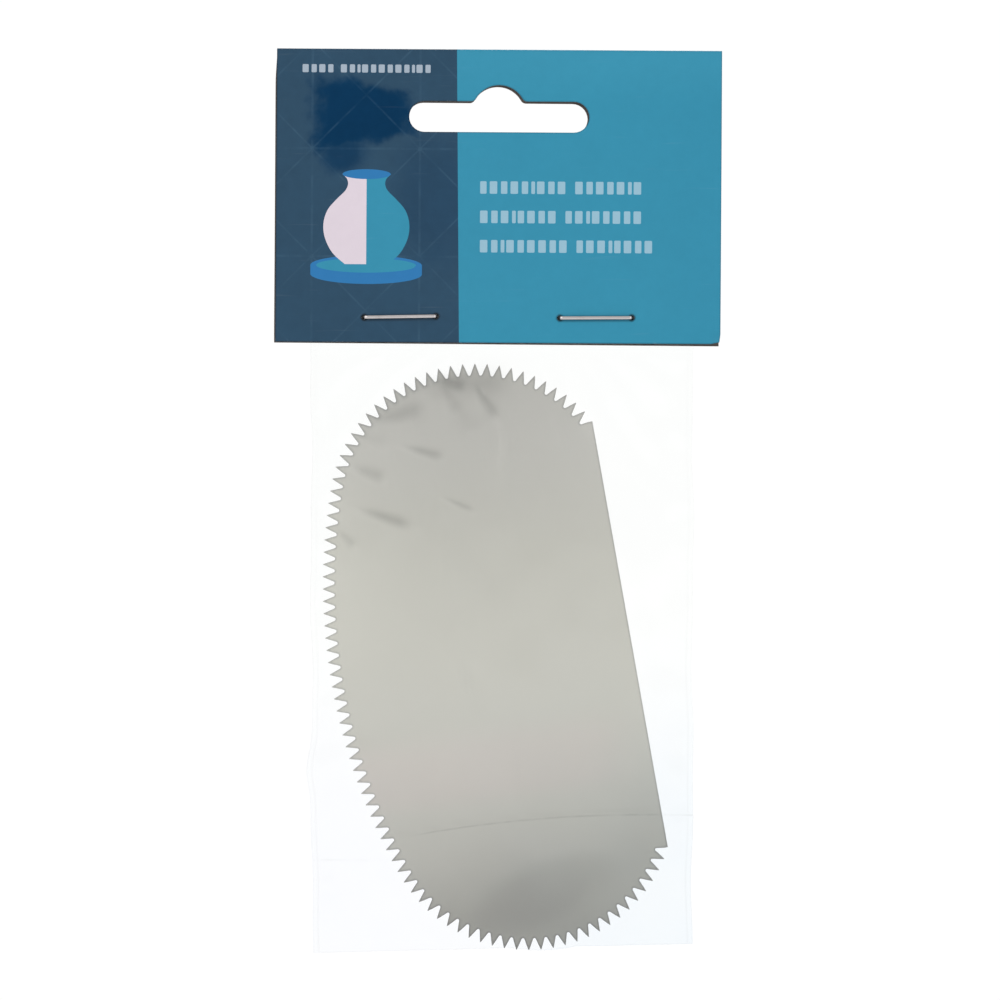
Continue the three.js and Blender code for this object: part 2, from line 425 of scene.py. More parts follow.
def print_coat_group(name):
    """Ink under a satin coat: soft mottle, rubbed pale edges, a fine board tooth, faint scuffs and painted
    shade by the staples and along the edges.
    """
    tree, given, made = new_group(
        name, {"Ink": (COLOUR, (0.1, 0.3, 0.4, 1)), "Mottle": (NUMBER, 0.08), "Rub": (NUMBER, 0.5)},
        {"Color": COLOUR, "Roughness": NUMBER, "Height": NUMBER})
    position = place(tree)[0]
    broad, cloud = noise_at(position, 0.09, 2.0), noise_at(position, 0.7, 4.0)
    tooth = noise_at(position, 5.0)
    gain = (broad * 0.5 + cloud * 0.5 - 0.5) * given["Mottle"] * 2.0 + 1.0
    edge_gap = attribute(tree, "edge_gap")
    ragged = ranged(noise_at(position, 0.9, offset=(7, 3, 1)), 0.62, 0.74)
    rubbed = ranged(edge_gap, 0.0, 0.35, 1.0, 0.0) * ragged * given["Rub"]
    # painted shade: darker in the staples' pits, beside their crowns and where the board turns over at its
    # edges
    pressed = ranged(attribute(tree, "pit_gap"), 0.42, 0.85, 0.25, 1.0)
    crown_shadow = ranged(attribute(tree, "crown_gap"), 0.30, 0.72, 0.64, 1.0)
    turned = ranged(edge_gap, 0.0, 0.28, 0.62, 1.0)
    scratch = noise_at(position, 0.55, 2.0, stretch=(0.16, 1, 2.6), offset=(2, 9, 4))
    pale = most(rubbed, ranged(scratch, 0.66, 0.80) * 0.02)
    toned = scaled(given["Ink"], gain * (pressed * crown_shadow * turned))
    link(mixed(pale, toned, (0.62, 0.66, 0.68, 1)), made["Color"])
    link(cloud * 0.16 + 0.34 + pale * 0.3, made["Roughness"])
    link(tooth * 0.25 + cloud * 0.75, made["Height"])
    return tree


def drawn_metal_group(name):
    """Rolled or drawn steel: fine lines along one direction, soft dull clouds and small smudges."""
    tree, given, made = new_group(
        name, {"Across": (NUMBER, 14.0), "Along": (NUMBER, 0.35), "Turn": (NUMBER, 0.0)},
        {"Lines": NUMBER, "Clouds": NUMBER, "Smudge": NUMBER})
    position = place(tree)[0]
    turned = result(tree, "ShaderNodeMapping", {
        "Vector": position, "Rotation": combined(tree, y=given["Turn"])})
    stretch = combined(tree, given["Across"], 1.0, given["Along"])
    fine = result(tree, "ShaderNodeVectorMath", {0: turned, 1: stretch}, operation="MULTIPLY")
    link(result(tree, "ShaderNodeTexNoise", {"Vector": fine, "Scale": 0.6, "Detail": 4.0}, "Fac"),
         made["Lines"])
    link(noise_at(position, 0.045, stretch=(1, 1, 0.8)), made["Clouds"])
    smudge = noise_at(position, 0.13, 5.0, stretch=(1.6, 1, 0.7), offset=(4, 0, 8))
    link(ranged(smudge, 0.56, 0.76), made["Smudge"])
    return tree


# ---------------------------------------------------------------- scraper blade


class ToothedOutline:
    """The blade's outline: a long side arc with a tangent arc at each end, and a straight edge."""

    def __init__(self, sizes):
        self.sizes = sizes
        self.end_v = sizes.length / 2 - sizes.end_radius
        self.side_u = sizes.width - sizes.side_radius
        self.end_u = self.side_u + math.sqrt(
            (sizes.side_radius - sizes.end_radius) ** 2 - self.end_v ** 2)
        self.join = math.atan2(self.end_v, self.end_u - self.side_u)
        corner = math.acos(-self.end_u / sizes.end_radius)
        self.side_length = 2 * sizes.side_radius * self.join
        self.length = self.side_length + 2 * sizes.end_radius * (corner - self.join)

    def point(self, distance, depth):
        """A point at a distance along the toothed edge, set in by a depth, as (u, v)."""
        from_middle = distance - self.length / 2
        along = abs(from_middle)
        if along <= self.side_length / 2:
            angle = from_middle / self.sizes.side_radius
            radius = self.sizes.side_radius - depth
            return (self.side_u + radius * math.cos(angle), radius * math.sin(angle))
        angle = self.join + (along - self.side_length / 2) / self.sizes.end_radius
        radius = self.sizes.end_radius - depth
        side = math.copysign(1, from_middle)
        return (self.end_u + radius * math.cos(angle), side * (self.end_v + radius * math.sin(angle)))

    def ring(self, depth, step):
        """The outline without teeth, set in by a depth, as points about a step apart."""
        count = int(self.length / step)
        ring = [self.point(self.length * i / count, depth) for i in range(count + 1)]
        return [(max(u, depth), v) for u, v in ring]

    def gullet(self, pitch):
        """One gullet as (share of the pitch, depth), from one tooth's blunt tip to the next one's."""
        sizes = self.sizes
        reach, drop = pitch / 2 - sizes.tip_flat, sizes.tooth_depth - sizes.gullet_radius
        flank = math.atan2(reach, drop) - math.asin(sizes.gullet_radius / math.hypot(reach, drop))
        foot_x = pitch / 2 - sizes.gullet_radius * math.cos(flank)
        foot_d = drop + sizes.gullet_radius * math.sin(flank)
        made = [(sizes.tip_flat + (foot_x - sizes.tip_flat) * share, foot_d * share)
                for share in (0, 0.35, 0.7, 1)]
        for angle in np.linspace(flank - math.pi / 2, 0, 5)[1:-1]:
            made.append((pitch / 2 + sizes.gullet_radius * math.sin(angle),
                         drop + sizes.gullet_radius * math.cos(angle)))
        made = [(x / pitch, depth - sizes.tip_reach) for x, depth in made]
        return made + [(0.5, sizes.tooth_depth - sizes.tip_reach)] + [(1 - x, d) for x, d in reversed(made)]

    def toothed(self):
        """The whole outline with its teeth, from one corner round to the other."""
        pitch = self.length / self.sizes.gullets
        outline = []
        for i in range(self.sizes.gullets):
            outline += [self.point((i + share) * pitch, depth) for share, depth in self.gullet(pitch)]
        return [self.point(0, 0)] + outline[1:-1] + [self.point(self.length, 0)]

    def placed(self, points):
        """Points of the blade's own frame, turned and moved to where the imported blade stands."""
        turn = self.sizes.tilt

        def turned(pairs):
            u, v = np.array(pairs, float).T
            return np.column_stack([-u * math.cos(turn) - v * math.sin(turn),
                                    -u * math.sin(turn) + v * math.cos(turn)])

        count = self.sizes.gullets
        tips = turned([self.point(self.length * i / count, 0) for i in range(count + 1)])
        return turned(points) + np.array([BLADE_LOW.x, BLADE_LOW.z]) - tips.min(0)


def set_in(outline, gap):
    """A closed outline moved inwards by a gap, with the shift at each corner limited."""
    outline = np.asarray(outline, float)
    before, after = np.roll(outline, 1, axis=0), np.roll(outline, -1, axis=0)

    def normal(a, b):
        along = (b - a) / np.maximum(np.linalg.norm(b - a, axis=1), 1e-9)[:, None]
        return np.column_stack([-along[:, 1], along[:, 0]])

    first, second = normal(before, outline), normal(outline, after)
    middle = first + second
    middle /= np.maximum(np.linalg.norm(middle, axis=1), 1e-9)[:, None]
    lean = np.maximum((middle * first).sum(1), 0.42)
    area = np.sum(outline[:, 0] * after[:, 1] - outline[:, 1] * after[:, 0])
    return outline + middle * (gap / lean)[:, None] * (1 if area > 0 else -1)


# The painted light and shade of the rolled face at each height, in mm and as a share of the steel's colour.
FACE_LIGHT_LEVELS = [(-148.6, 0.53), (-143.0, 0.525), (-138.5, 0.605), (-134.5, 0.70), (-130.5, 0.785),
              (-125.0, 0.85), (-117.0, 0.925), (-106.0, 0.965), (-94.0, 0.965), (-84.0, 0.93),
              (-72.0, 0.888), (-60.0, 0.89), (-47.0, 0.83)]


def painted_face_light(x, z, clouds):
    """The painted light and shade of the face: darker towards the foot, in a bowl low down."""
    low, high = FACE_LIGHT_LEVELS[0][0], FACE_LIGHT_LEVELS[-1][0]
    bowl = squared(x - 7.0) * 0.0090 * ranged(z, -126.0, -140.0)
    level = z + bowl + ranged(clouds, 0.3, 0.7, -1.2, 1.2)
    ramp = put(z.tree, "ShaderNodeValToRGB", {0: maths("DIVIDE", level - low, high - low, clamp=True)})
    ramp.color_ramp.interpolation = "B_SPLINE"
    while len(ramp.color_ramp.elements) < len(FACE_LIGHT_LEVELS):
        ramp.color_ramp.elements.new(0.5)
    for element, (height, tone) in zip(ramp.color_ramp.elements, FACE_LIGHT_LEVELS):
        element.position = (height - low) / (high - low)
        element.color = (tone, tone, tone, 1)
    return Value(ramp.outputs[0])


def blade_material(settings):
    """Satin rolled strip: fine lines along the blade, with painted shade towards the foot and at the upper
    left, darker on the teeth.
    """
    material, tree, shader, _ = new_material("blade_steel")
    _, x, _, z = place(tree)
    metal = use_group(tree, "Drawn Metal", drawn_metal_group, {
        "Across": 9.0, "Along": 0.3, "Turn": settings.tilt})
    lines, smudge = metal["Lines"], metal["Smudge"]
    dark = colour(settings.steel_dark_and_shade)
    # painted light: lighter towards both sides higher up, darker towards the lower right
    aside = x + 6.0
    left = squared(least(aside, 0.0)) * ranged(z, -80.0, -116.0, 0.00022, 0.0)
    right = squared(most(aside, 0.0)) * (ranged(z, -96.0, -60.0) * 0.00011)
    lean = ranged(z, -100.0, -137.0) * ranged(z, -132.0, -143.0, -0.0041, -0.0009)
    side = left + right + (x + 14.0) * lean + 1.0
    # a long blot of painted shade low down that rises to the right
    off_x, off_z = x - 8.5, z + 138.8
    away = squared(off_x * 0.0662 + off_z * 0.0268) + squared(off_z * 0.162 - off_x * 0.0655)
    shade_blot = ranged(away + smudge * 0.5, 0.1, 1.3, 0.875, 1.0)
    light = painted_face_light(x, z, metal["Clouds"]) * side * shade_blot
    # a cooler head and a faintly warm belt that rises to the right
    cool = mixed(ranged(z, -84.0, -56.0, 0.0, 0.5), scaled(settings.steel, light),
                 scaled(settings.steel_cool, light))
    slanted = z - (x + 14.0) * 0.14
    belt = ranged(slanted, -110.0, -117.0) * ranged(slanted, -127.0, -122.0) * ranged(x, 27.0, 15.0)
    warm = mixed(belt * 0.75, cool, scaled(settings.steel_warm, light))
    smudged = mixed(smudge * 0.05, warm, dark)
    lined = mixed(ranged(lines, 0.35, 0.65, 0.0, 0.045), smudged, dark)
    # the teeth are darker along their edges, more so towards the foot, and painted shade lies over them at
    # the upper left
    rim_gap = attribute(tree, "edge_gap")
    shaded = ranged(z, -72.0, -52.0) * ranged(x, -2.0, -12.0)
    outlined = ranged(rim_gap, 0.0, 0.46, 1.0, 0.0) * ranged(z, -118.0, -140.0, 0.64, 0.84)
    teeth = maths("ADD", outlined, shaded * ranged(rim_gap, 0.35, 1.0, 0.26, 0.0), clamp=True)
    feed(shader, Base_Color=mixed(teeth, lined, scaled(settings.steel_dark_and_shade, light)), Metallic=1.0,
         Anisotropic=0.35, Roughness=lines * 0.12 + 0.31 + smudge * 0.08, Normal=bump(lines, 0.18, 0.02))
    return material


class CLAYPACK_OT_scraper_blade(bpy.types.Operator):
    """Make the toothed half-moon blade with broken edges"""

    bl_idname = "claypack.scraper_blade"
    bl_label = "Scraper Blade"

    def execute(self, context):
        sizes = context.scene.claypack_blade
        shape = ToothedOutline(sizes)
        rim = shape.placed(shape.toothed())
        face_rim = set_in(rim, sizes.edge_break)
        rings = [shape.placed(shape.ring(sizes.tooth_depth + gap, step))
                 for gap, step in ((0.35, 0.8), (1.3, 1.4), (3.0, 2.4))]
        low, high = rim.min(0), rim.max(0)
        spread = np.array([(a, b) for a in np.arange(low[0], high[0], 4.0)
                           for b in np.arange(low[1], high[1], 4.0)])
        core = rings[-1]
        spread = spread[inside(spread, core) & (to_outline(spread, core) > 1.5)]
        pitch = shape.length / sizes.gullets
        spines = shape.placed([shape.point(i * pitch, depth) for i in range(1, sizes.gullets)
                               for depth in (0.75, 1.15, 1.55, 1.95)])
        loose = np.concatenate([*rings, spines, spread])
        loose = loose[inside(loose, face_rim) & (to_outline(loose, face_rim) > 0.12)]
        flat, triangles = triangulate([face_rim], loose)
        middles = flat[triangles].mean(1)
        flat, triangles = compacted(flat, triangles[inside(middles, face_rim)])
        front, back = BLADE_LOW.y, BLADE_HIGH.y
        count = len(flat)
        layers = [np.insert(points, 1, y, axis=1) for points, y in (
            (flat, front), (flat, back), (rim, front + sizes.edge_break), (rim, back - sizes.edge_break))]
        faces = [tuple(t) for t in triangles] + [tuple(t[::-1] + count) for t in triangles]
        # the face's own rim, in the order of the outline
        order = [int(np.argmin(np.abs(flat - p).sum(1))) for p in face_rim]
        first = 2 * count
        second = first + len(rim)
        for i in range(len(rim)):
            j = (i + 1) % len(rim)
            faces += [
                (order[i], order[j], first + j, first + i),
                (first + i, first + j, second + j, second + i),
                (second + i, second + j, count + order[j], count + order[i]),
            ]
        piece = add_mesh("scraper_blade_steel", np.concatenate(layers), faces,
                         [blade_material(sizes)], smooth_angle=30)
        turn_outwards(piece)
        gap = to_outline(flat, rim)
        set_attribute(piece, "edge_gap", np.concatenate([gap, gap, np.zeros(2 * len(rim))]))
        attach(piece, "scraper")
        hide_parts("scraper_blade")
        return {"FINISHED"}


# ---------------------------------------------------------------- header card


SLOT_LENGTH, SLOT_HEIGHT, SLOT_LOW = 31.0, 5.3, -7.95
HUMP_RADIUS, HUMP_FILLET, HUMP_TOP = 4.6, 1.0, 0.15


def slot_outline():
    """The hang slot: a long slot with round ends and a hump above its middle, as (x, z)."""
    end = SLOT_HEIGHT / 2
    top = SLOT_LOW + SLOT_HEIGHT
    straight = SLOT_LENGTH / 2 - end
    rise = top + HUMP_FILLET + HUMP_RADIUS - HUMP_TOP
    foot = math.sqrt((HUMP_RADIUS + HUMP_FILLET) ** 2 - rise ** 2)
    lean = math.degrees(math.atan2(rise, foot))
    right = arc((straight, SLOT_LOW + end), end, -90, 90, 14)
    right += arc((foot, top + HUMP_FILLET), HUMP_FILLET, -90, lean - 180, 6)
    right += arc((0, HUMP_TOP - HUMP_RADIUS), HUMP_RADIUS, lean, 90, 12)
    return right + [(-x, z) for x, z in reversed(right[:-1])]


def block(left, right, low, high, corner=0.16):
    """An upright block with softened corners, as (x, z)."""
    made = []
    for x, z, start in ((right - corner, low + corner, -90), (right - corner, high - corner, 0),
                        (left + corner, high - corner, 90), (left + corner, low + corner, 180)):
        made += arc((x, z), corner, start, start + 90, 2)
    return made


# Rows of plain blocks in the place of words: W is a wide block, s a slim and i a thin one.
BLOCK_WIDTHS = {"W": 1.0, "s": 0.85, "i": 0.5}
WORD_GAP = 0.55
ROWS = [(-18.55, "sWsWsiWsW WsWsWiW"), (-23.60, "WsWisWsW sWiWsWsW"), (-28.65, "WsiWsWWsW sWWisWsW")]
HEADING = "WsWs WsiWsWsWsiWs"


def greeked(left, low, words, height, step, fill):
    """A row of plain blocks that stands for words, as outlines."""
    made, x = [], left
    for mark in words:
        if mark == " ":
            x += WORD_GAP * step
            continue
        width = BLOCK_WIDTHS[mark] * step
        made.append(block(x, x + width * fill, low, low + height))
        x += width
    return made


NAVY, TEAL, PALE, BLUE, LETTER, LABEL, RAW = range(7)
MARK = (-22.75, -23.9)
# A thrown pot in outline, from its foot up to its lip: (half width, height) about the mark's middle.
POT = [(3.7, -6.9), (5.8, -5.0), (7.1, -2.5), (7.4, 0.0), (6.7, 2.4), (5.1, 4.3), (3.7, 5.7), (3.2, 6.8),
       (3.4, 7.8), (4.2, 8.6)]


def pot_half(side, steps=4):
    """One half of the pot, smoothed through its points."""
    points = np.array(POT)
    padded = np.vstack([2 * points[0] - points[1], points, 2 * points[-1] - points[-2]])
    curve = []
    for a, b, c, d in zip(padded, padded[1:], padded[2:], padded[3:]):
        for t in np.linspace(0, 1, steps, endpoint=False):
            curve.append(0.5 * (2 * b + (c - a) * t + (2 * a - 5 * b + 4 * c - d) * t ** 2
                                + (3 * b - a - 3 * c + d) * t ** 3))
    curve = np.array([*curve, points[-1]])
    curve = np.vstack([[0, curve[0][1]], curve, [0, curve[-1][1]]])
    return [(MARK[0] + side * x, MARK[1] + z) for x, z in curve]


def flat_round(centre, wide, tall, start=0, end=360, steps=40):
    angles = np.radians(np.linspace(start, end, steps, endpoint=end - start < 360))
    return [(centre[0] + wide * math.cos(a), centre[1] + tall * math.sin(a)) for a in angles]


def divided(outline, step):
    """The outline with its long edges cut into lengths of at most a step."""
    made = []
    for (x0, z0), (x1, z1) in zip(outline, [*outline[1:], outline[0]]):
        count = max(1, math.ceil(math.hypot(x1 - x0, z1 - z0) / step))
        made += [(x0 + (x1 - x0) * i / count, z0 + (z1 - z0) * i / count) for i in range(count)]
    return made


def to_stretch(x, z, start, end):
    """Distance to a straight stretch, and the share along it."""
    start, end = np.array(start), np.array(end)
    along = end - start
    share = ((x - start[0]) * along[0] + (z - start[1]) * along[1]) / (along @ along)
    held = np.clip(share, 0, 1)
    return np.hypot(x - start[0] - held * along[0], z - start[1] - held * along[1]), held


def printed_shapes():
    """(ink, outline) of what is printed over the two panels' colours, as (x, z) on the front."""
    wheel = (MARK[0], MARK[1] - 7.1)
    lower = [(x, z - 1.5) for x, z in flat_round(wheel, 9.6, 1.7, 180, 360)]
    upper = flat_round(wheel, 9.6, 1.7, 0, 180)
    shapes = [(BLUE, lower + upper), (TEAL, flat_round(wheel, 8.6, 1.25)[:-1]), (PALE, pot_half(-1)),
              (TEAL, pot_half(1)), (BLUE, flat_round((MARK[0], MARK[1] + 8.6), 4.15, 0.85)[:-1])]
    for low, words in ROWS:
        row = greeked(-3.2, low, words, height=2.15, step=1.935, fill=0.67)
        shapes += [(LETTER, shape) for shape in row]
    head = greeked(-33.9, 2.2, HEADING, height=1.4, step=1.55, fill=0.68)
    return shapes + [(LABEL, shape) for shape in head]


def panel_border(z):
    """Where the navy meets the teal at a height on the front."""
    return -7.33 + (CARD_HIGH.z - z) * 0.0124


# How far the front's holes lie out from the legs' middles, where the wire has pulled them open.
LEG_SPLAY = 0.12


def leg_places(turns):
    """(x, z) of the four staple legs."""
    made = []
    for (low, high), turn in zip(STAPLE_BOXES, turns):
        middle, reach = (low + high) / 2, (high.x - low.x) / 2 - 0.28
        for side in (-1, 1):
            made.append((middle.x + side * reach * math.cos(turn), middle.z + side * reach * math.sin(turn)))
    return made


def print_material(name, settings, ink, mottle, rub, extra=None):
    material, tree, shader, _ = new_material(name)
    base, sheen = colour(ink), settings.sheen
    if extra:
        base, sheen = extra(tree, base, sheen)
    coat = use_group(tree, "Print Coat", print_coat_group, {"Ink": base, "Mottle": mottle, "Rub": rub})
    feed(shader, Base_Color=coat["Color"], Roughness=coat["Roughness"], Specular_IOR_Level=sheen,
         Normal=bump(coat["Height"], 0.25, 0.03))
    return material


LATTICE_PITCH, LATTICE_KNOT = 18.54, (-13.6, -10.9)


def lattice(x, z):
    """Upright, level and slanting lines through evenly spaced knots, strongest at the knots."""
    def ruled(value, origin):
        """Distance in mm to the nearest of the evenly spaced lines."""
        steps = (value - origin) / LATTICE_PITCH
        return abs((steps - maths("ROUND", steps)) * LATTICE_PITCH)

    knot_x, knot_z = LATTICE_KNOT
    upright, level = ruled(x, knot_x), ruled(z, knot_z)
    slanting = least(ruled(z - x, knot_z - knot_x), ruled(z + x, knot_z + knot_x))
    straight = ranged(least(upright, level), 0.08, 0.30, 0.8, 0.0)
    knots = ranged(most(upright, level), 0.25, 0.5, 1.5, 0.0)
    return most(most(straight, ranged(slanting, 0.05, 0.34, 1.0, 0.0)), knots)


def deep_field(position, x, y, z):
    """The front's darker field: taller on its left, trailing off below, and weaker to its right."""
    wobble = (noise_at(position, 0.32, 5.0) - 0.5) * 0.75

    def out_from(centre_x, reach_x, centre_z, reach_z):
        """How far out a point is, from 0 in the middle to 1 at the reach, as (across, up)."""
        return abs((x - centre_x) / reach_x), abs((z - centre_z) / reach_z)

    def rounded(across, up):
        return maths("SQRT", squared(across) + squared(up))

    main = most(*out_from(-23.4, 8.6, -4.9, ranged(x, -32.0, -13.5, 6.9, 3.6))) + wobble
    tail = rounded(*out_from(-26.8, 4.6, -11.4, 4.0)) + wobble
    right = rounded(*out_from(-11.5, 8.0, -19.5, 13.0)) + wobble
    field = most(ranged(main, 0.70, 1.22, 1.0, 0.0), ranged(tail, 0.45, 1.25, 0.75, 0.0))
    return most(field, ranged(right, 0.35, 1.30, 0.30, 0.0)) * maths("LESS_THAN", y, 0.0)


def navy_print(settings):
    """Adds the ruled lattice and the deeper, glossless field to the navy ink."""
    def add(tree, base, sheen):
        position, x, y, z = place(tree)
        worn = ranged(noise_at(position, 0.30, 4.0, offset=(3, 1, 5)), 0.36, 0.66, 0.12, 1.0)
        field = deep_field(position, x, y, z)
        deep = mixed(field, base, colour(settings.navy_deep))
        inked = mixed(lattice(x, z) * worn * 0.12, deep, (0.10, 0.21, 0.31, 1))
        return inked, ranged(field, 0.0, 1.0, sheen, 0.04)
    return add


def teal_print_and_highlight(tree, base, sheen):
    """The teal runs deeper at its right, and a painted highlight makes it a little lighter towards the fold.
    """
    _, x, _, z = place(tree)
    deeper = mixed(ranged(x, 24.0, 38.0, 0.0, 0.05), base, (0.0, 0.10, 0.20, 1))
    # painted highlight: a little lighter towards the fold
    return mixed(ranged(z, -4.0, 4.5, 0.0, 0.08), deeper, (0.08, 0.40, 0.55, 1)), sheen


def raw_board_material(settings):
    """Unprinted board: grey-brown fibre on the inside and along the cut edges."""
    material, tree, shader, _ = new_material("board_raw")
    position = place(tree)[0]
    fibre = noise_at(position, 2.2, 5.0, stretch=(0.5, 3, 1.4))
    fleck = ranged(noise_at(position, 3.5, 2.0, offset=(1, 4, 2)), 0.62, 0.72)
    tone = mixed(fibre, colour(settings.kraft), (0.105, 0.088, 0.078, 1))
    feed(shader, Base_Color=mixed(fleck * 0.4, tone, (0.17, 0.15, 0.135, 1)),
         Roughness=fibre * 0.1 + 0.82, Normal=bump(fibre, 0.5, 0.05))
    return material


class CLAYPACK_OT_header_card(bpy.types.Operator):
    """Make the printed board folded over the bag's mouth, with its slot and staple holes"""

    bl_idname = "claypack.header_card"
    bl_label = "Header Card"

    def execute(self, context):
        settings = context.scene.claypack_card
        staples = context.scene.claypack_staples
        turns = (staples.left_turn, staples.right_turn)
        legs = leg_places(turns)
        half = settings.board / 2
        fold_half = CARD_HIGH.y - half  # of the board's middle, at the fold
        fold_level = CARD_HIGH.z - fold_half - half
        panel_low = CARD_LOW.z + settings.front_lift
        front_length = fold_level - panel_low
        fold_length = math.pi * fold_half
        full = 2 * front_length + fold_length
        staple_z = (STAPLE_BOXES[0][0].z + STAPLE_BOXES[0][1].z) / 2

        # the flat blank: x across, t from the front panel's lower edge over the fold to the back's
        def on_front(shape):
            return [(x, z - panel_low) for x, z in shape]

        def on_back(shape):
            return [(x, full - (z - panel_low)) for x, z in reversed(shape)]

        slot = slot_outline()
        holes = [on_front(slot), on_back(slot)]
        for x, z in legs:
            outwards = LEG_SPLAY if x in (legs[1][0], legs[3][0]) else -LEG_SPLAY
            # the back panel has slipped, so its holes lie off to meet the legs
            drop = settings.back_drop + x * math.tan(settings.back_skew)
            holes += [on_front(flat_round((x + outwards, z), 0.46, 0.40, steps=12)),
                      on_back(flat_round((x + settings.back_slip, z + drop), 0.27, 0.32, steps=12))]
        printed = [(ink, on_front(shape)) for ink, shape in printed_shapes()]
        step = 1.7
        columns = np.linspace(CARD_LOW.x, CARD_HIGH.x, int((CARD_HIGH.x - CARD_LOW.x) / step))
        fold_rows = front_length + np.linspace(-0.5, fold_length + 0.5, 16)
        rows = np.concatenate([np.arange(step, front_length - 1, step), fold_rows,
                               np.arange(front_length + fold_length + 1.2, full - 0.5, step)])
        levels = [0, *rows, full]
        border = [(panel_border(min(t, full - t) + panel_low), t) for t in levels]
        left_edge = [(CARD_LOW.x, t) for t in reversed(levels)]
        navy_side = border + left_edge
        blank = divided(left_edge + [(CARD_HIGH.x, t) for t in levels], step)
        holes = [divided(hole, step) for hole in holes]
        printed = [(ink, divided(shape, step)) for ink, shape in printed]
        loose = [np.array([(x, t) for t in rows for x in columns]), set_in(blank, 0.4)]
        for (left_x, left_z), (right_x, right_z) in (legs[:2], legs[2:]):
            for rise in (-1.0, -0.62, -0.3, 0.0, 0.3, 0.62):
                row = [(left_x + share * (right_x - left_x), left_z + share * (right_z - left_z) + rise)
                       for share in np.linspace(0.08, 0.92, 20)]
                loose.append(np.array(on_front(row)))
        for x, z in legs:
            for radius, count in ((0.75, 12), (1.2, 14), (1.9, 16)):
                ring = [(x + radius * math.cos(a), z + radius * math.sin(a))
                        for a in np.linspace(0, 2 * math.pi, count, endpoint=False)]
                loose += [np.array(on_front(ring)), np.array(on_back(ring))]
        loose = np.concatenate(loose)
        keep = np.ones(len(loose), bool)
        outlines = [blank, *holes, navy_side, *(shape for _, shape in printed)]
        for shape in outlines:
            keep &= to_outline(loose, shape) > 0.22
        flat, triangles = triangulate(outlines, loose[keep])
        middles = flat[triangles].mean(1)
        real = inside(middles, blank)
        for hole in holes:
            real &= ~inside(middles, hole)
        flat, triangles = compacted(flat, triangles[real])
        middles = flat[triangles].mean(1)
        ink = np.where(inside(middles, navy_side), NAVY, TEAL)
        for value, shape in printed:
            ink[inside(middles, shape)] = value

        def folded(x, t, out):
            """A point of the board at a distance out from its middle, once it is folded."""
            back = t > front_length + fold_length / 2
            bend = np.clip((t - front_length) / fold_length, 0, 1)
            level = np.where(back, full - t, t) + panel_low
            level = np.minimum(level, fold_level)
            rise = np.clip((level - staple_z) / (fold_level - staple_z), 0, 1)
            belly = settings.spring * np.sin(math.pi * rise ** 0.8)
            below = settings.spring * 0.9 * np.clip((staple_z - level) / (staple_z - panel_low), 0, 1) ** 1.5
            wave = 0.05 * np.sin(x / 11.0 + np.where(back, 1.3, 0.0)) * np.sin(math.pi * rise)
            dent = np.zeros_like(x)
            for leg_x, leg_z in legs:
                away = np.hypot(x - leg_x, level - leg_z)
                dent += 0.10 * np.exp(-(away / 0.8) ** 2)
            off = fold_half + (belly + below + wave - dent) * smooth_step(0, 1.5, fold_level - level)
            angle = bend * math.pi
            reach = off + out
            y = -np.cos(angle) * reach
            z = np.where((t > front_length) & (t < full - front_length),
                         fold_level + np.sin(angle) * (fold_half + out), level)
            slip = smooth_step(0, 1, (t - front_length - fold_length / 2) / 6.0)
            drop = settings.back_drop + x * math.tan(settings.back_skew)
            # the lower right corner of the front panel is bumped forwards
            corner = smooth_step(1.9, 0.0, np.hypot(x - CARD_HIGH.x, level - panel_low)) * (~back)
            return np.column_stack([x - slip * settings.back_slip - 0.2 * corner, y - 0.30 * corner,
                                    z - slip * drop + 0.30 * corner])

        x, t = flat.T
        points = np.concatenate([folded(x, t, half), folded(x, t, -half)])
        count = len(flat)
        faces = [tuple(f) for f in triangles] + [tuple(f[::-1] + count) for f in triangles]
        rims = rim_edges(triangles)
        faces += [(b, a, a + count, b + count) for a, b in rims]
        inks = np.concatenate([ink, np.full(len(triangles) + len(rims), RAW)])
        materials = [
            print_material("ink_navy", settings, settings.navy, 0.20, 0.10, navy_print(settings)),
            print_material("ink_teal", settings, settings.teal, 0.08, 0.10, teal_print_and_highlight),
            print_material("ink_pale", settings, settings.pale, 0.06, 0.2),
            print_material("ink_blue", settings, settings.blue, 0.06, 0.2),
            print_material("ink_letter", settings, settings.letter, 0.04, 0.0),
            print_material("ink_heading", settings, settings.heading, 0.04, 0.0),
            raw_board_material(settings),
        ]
        piece = add_mesh("header_card_board", points, faces, materials, inks, smooth_angle=35)
        turn_outwards(piece)
        gap = to_outline(flat, blank)
        for hole in holes[:2]:
            gap = np.minimum(gap, to_outline(flat, hole))
        set_attribute(piece, "edge_gap", np.concatenate([gap, gap]))
        # how far each point of the front is from the staples' legs and crowns, for the painted shade in the
        # pits and beside the crowns
        near_leg, near_crown = np.full(len(flat), 9.0), np.full(len(flat), 9.0)
        front_z = np.where(t < front_length, t + panel_low, CARD_LOW.z - 50.0)
        for (left_x, left_z), (right_x, right_z) in (legs[:2], legs[2:]):
            for leg_x, leg_z in ((left_x - LEG_SPLAY, left_z), (right_x + LEG_SPLAY, right_z)):
                near_leg = np.minimum(near_leg, np.hypot(x - leg_x, front_z - leg_z))
            shaded = -0.16  # the shade lies a little under each crown
            away, _ = to_stretch(x, front_z, (left_x, left_z + shaded), (right_x, right_z + shaded))
            near_crown = np.minimum(near_crown, away)
        set_attribute(piece, "pit_gap", np.concatenate([near_leg, near_leg]))
        set_attribute(piece, "crown_gap", np.concatenate([near_crown, near_crown]))
        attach(piece, "header")
        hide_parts("header_card")
        return {"FINISHED"}


# ---------------------------------------------------------------- staples


